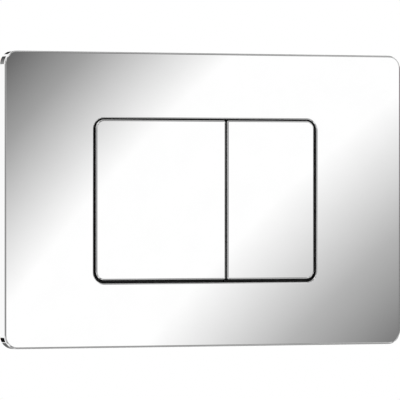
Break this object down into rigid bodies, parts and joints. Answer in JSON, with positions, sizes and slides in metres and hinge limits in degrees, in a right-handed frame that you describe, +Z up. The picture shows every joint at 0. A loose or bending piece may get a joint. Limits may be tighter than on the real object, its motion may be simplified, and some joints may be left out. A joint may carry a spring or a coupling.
{
  "type": "flush button plate",
  "caption": "Rounded rectangular chrome wall plate with a large and a small flush button in its window, on a moulded frame with push rods, return springs and fixing studs.",
  "frame": {"origin": "centre of the plate on the finished wall face, where the frame's flange and the plate's skirt end", "axes": "+X right as seen from the room, +Y into the wall, +Z up"},
  "size_m": [0.246, 0.0811, 0.164],
  "materials": {
    "chrome_plate": "polished chrome plating on moulded plastic",
    "chrome_buttons": "polished chrome plating on moulded plastic",
    "rocker_black": "fine moulded texture",
    "frame_grey": "moulded plastic, fine spark texture",
    "pin_steel": "drawn stainless wire",
    "bumper_rubber": "soft matt rubber",
    "rod_white": "natural acetal, satin",
    "tip_blue": "moulded nylon, satin",
    "nut_black": "moulded nylon",
    "spring_steel": "drawn spring wire",
    "stud_zinc": "bright zinc plating",
    "washer_zinc": "bright zinc plating"
  },
  "bodies": {
    "plate_assembly": {"front_plate": "chrome_plate", "mounting_frame": "frame_grey", "full_flush_hinge_pin": "pin_steel", "full_flush_spring": "spring_steel", "half_flush_hinge_pin": "pin_steel", "half_flush_spring": "spring_steel", "fixing_stud_left": "stud_zinc", "clamp_nut_left": "nut_black", "clamp_washer_left": "washer_zinc", "fixing_stud_right": "stud_zinc", "clamp_nut_right": "nut_black", "clamp_washer_right": "washer_zinc"},
    "full_flush_button_body": {"full_flush_button": "chrome_buttons", "full_flush_rocker": "rocker_black", "full_flush_bumpers": "bumper_rubber"},
    "full_flush_rod_body": {"full_flush_push_rod": "rod_white", "full_flush_rod_tip": "tip_blue", "full_flush_stop_nut": "nut_black"},
    "half_flush_button_body": {"half_flush_button": "chrome_buttons", "half_flush_rocker": "rocker_black", "half_flush_bumpers": "bumper_rubber"},
    "half_flush_rod_body": {"half_flush_push_rod": "rod_white", "half_flush_rod_tip": "tip_blue", "half_flush_stop_nut": "nut_black"}
  },
  "joints": [
    {"name": "full_flush_press", "type": "hinge", "parent": "plate_assembly", "child": "full_flush_button_body", "pos_m": [-0.02785, 0.0012, 0.05045], "axis": [1, 0, 0], "range_deg": [0, 4.5], "stiffness_Nm_per_rad": 3.4, "springref_deg": -3.5, "deforming": ["full_flush_spring"]},
    {"name": "full_flush_rod_slide", "type": "slide", "parent": "plate_assembly", "child": "full_flush_rod_body", "axis": [0, 1, 0], "range_m": [0, 0.0052]},
    {"name": "half_flush_press", "type": "hinge", "parent": "plate_assembly", "child": "half_flush_button_body", "pos_m": [0.04045, 0.0012, 0.05045], "axis": [1, 0, 0], "range_deg": [0, 4.5], "stiffness_Nm_per_rad": 3.4, "springref_deg": -3.5, "deforming": ["half_flush_spring"]},
    {"name": "half_flush_rod_slide", "type": "slide", "parent": "plate_assembly", "child": "half_flush_rod_body", "axis": [0, 1, 0], "range_m": [0, 0.0052]}
  ],
  "couplings": [
    {"joint": "full_flush_rod_slide", "follows": "full_flush_press", "m_per_rad": 0.06445},
    {"joint": "half_flush_rod_slide", "follows": "half_flush_press", "m_per_rad": 0.06445}
  ]
}
